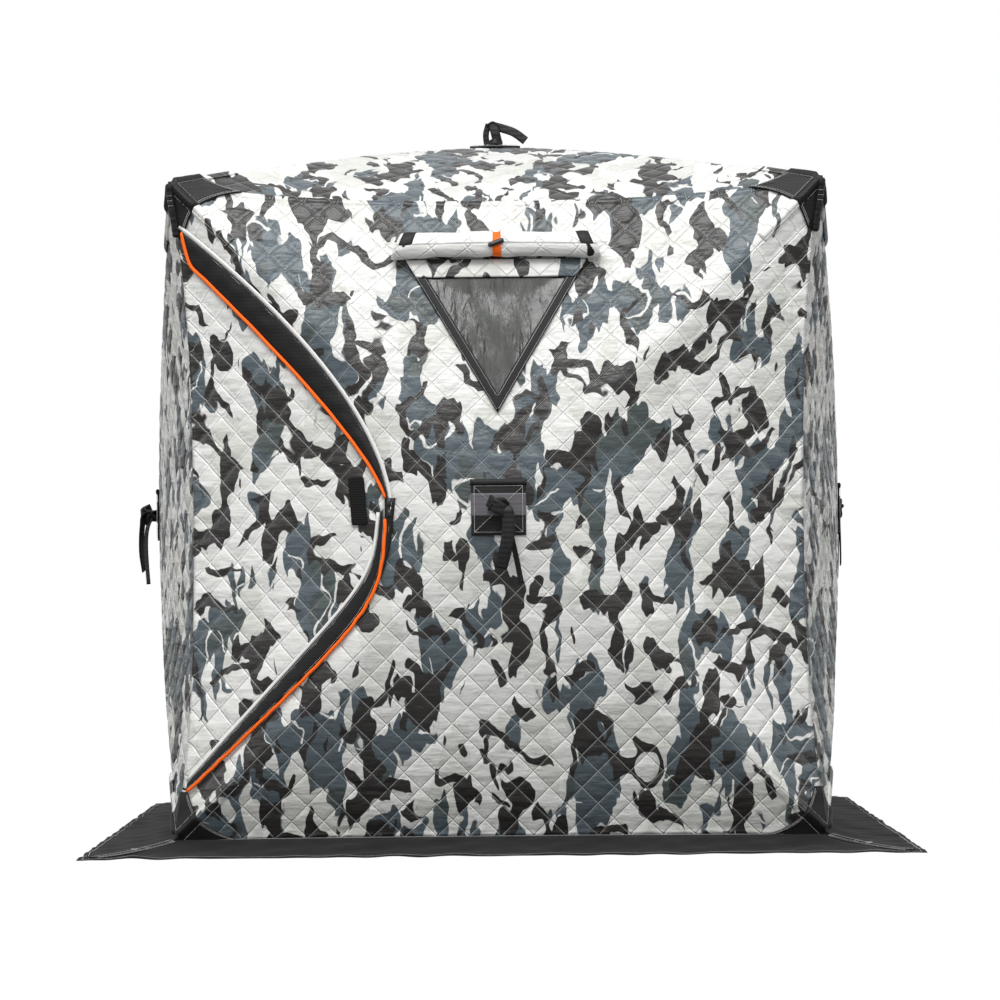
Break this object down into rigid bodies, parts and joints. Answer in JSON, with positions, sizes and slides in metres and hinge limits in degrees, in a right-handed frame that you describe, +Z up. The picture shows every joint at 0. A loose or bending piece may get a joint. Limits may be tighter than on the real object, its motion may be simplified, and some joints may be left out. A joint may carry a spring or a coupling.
{
  "type": "pop-up hub ice fishing hut",
  "caption": "Square pop-up ice fishing hut of quilted snow-camouflage fabric on bowed poles, with a curved side door, a triangular window and a ground skirt.",
  "frame": {"origin": "on the ground at the middle of the hut", "axes": "+Z up, -Y the front with the door and window, +X to the right seen from the front"},
  "size_m": [2.294, 2.294, 2.1168],
  "materials": {
    "quilted_snow_camo": "quilted polyester oxford with a snow camouflage print",
    "skirt_fabric": "plain black coated polyester",
    "black_webbing": "woven black webbing",
    "eyelet_steel": "plated steel",
    "black_oxford": "heavy black oxford cloth",
    "black_nylon": "moulded nylon",
    "fibreglass_pole": "pultruded fibreglass",
    "clear_vinyl": "clear flexible vinyl",
    "orange_binding": "bright orange polyester tape",
    "hook_and_loop": "black hook-and-loop tape"
  },
  "bodies": {
    "root": {"front_wall": "quilted_snow_camo", "back_wall": "quilted_snow_camo", "left_wall": "quilted_snow_camo", "right_wall": "quilted_snow_camo", "roof": "quilted_snow_camo", "skirt_front": "skirt_fabric", "skirt_back": "skirt_fabric", "skirt_left": "skirt_fabric", "skirt_right": "skirt_fabric", "skirt_corner_tabs": "black_webbing", "skirt_eyelets": "eyelet_steel", "top_corner_patches": "black_oxford", "bottom_corner_patches": "black_oxford", "corner_webbing": "black_webbing", "corner_feet": "black_nylon", "hub_front": "black_nylon", "hub_back": "black_nylon", "hub_left": "black_nylon", "hub_right": "black_nylon", "hub_roof": "black_nylon", "poles_front": "fibreglass_pole", "poles_back": "fibreglass_pole", "poles_left": "fibreglass_pole", "poles_right": "fibreglass_pole", "poles_roof": "fibreglass_pole", "hub_patches": "black_oxford", "pull_strap_front": "black_webbing", "pull_strap_back": "black_webbing", "pull_strap_left": "black_webbing", "pull_strap_right": "black_webbing", "pull_strap_roof": "black_webbing", "window_pane": "clear_vinyl", "window_binding": "black_oxford", "window_header": "quilted_snow_camo", "window_cover_roll": "quilted_snow_camo", "roll_strap": "orange_binding", "roll_toggle": "black_nylon", "upper_flap": "black_oxford", "upper_piping": "orange_binding", "zip_sliders": "black_nylon"},
    "door": {"door_panel": "quilted_snow_camo", "door_welt": "quilted_snow_camo", "door_flap": "black_oxford", "door_piping": "orange_binding", "door_grip_tab": "hook_and_loop"}
  },
  "joints": [
    {"name": "door_swing", "type": "hinge", "parent": "root", "child": "door", "pos_m": [-0.835, -0.878, 0.9], "axis": [0, 0, -1], "range_deg": [0, 110]}
  ]
}
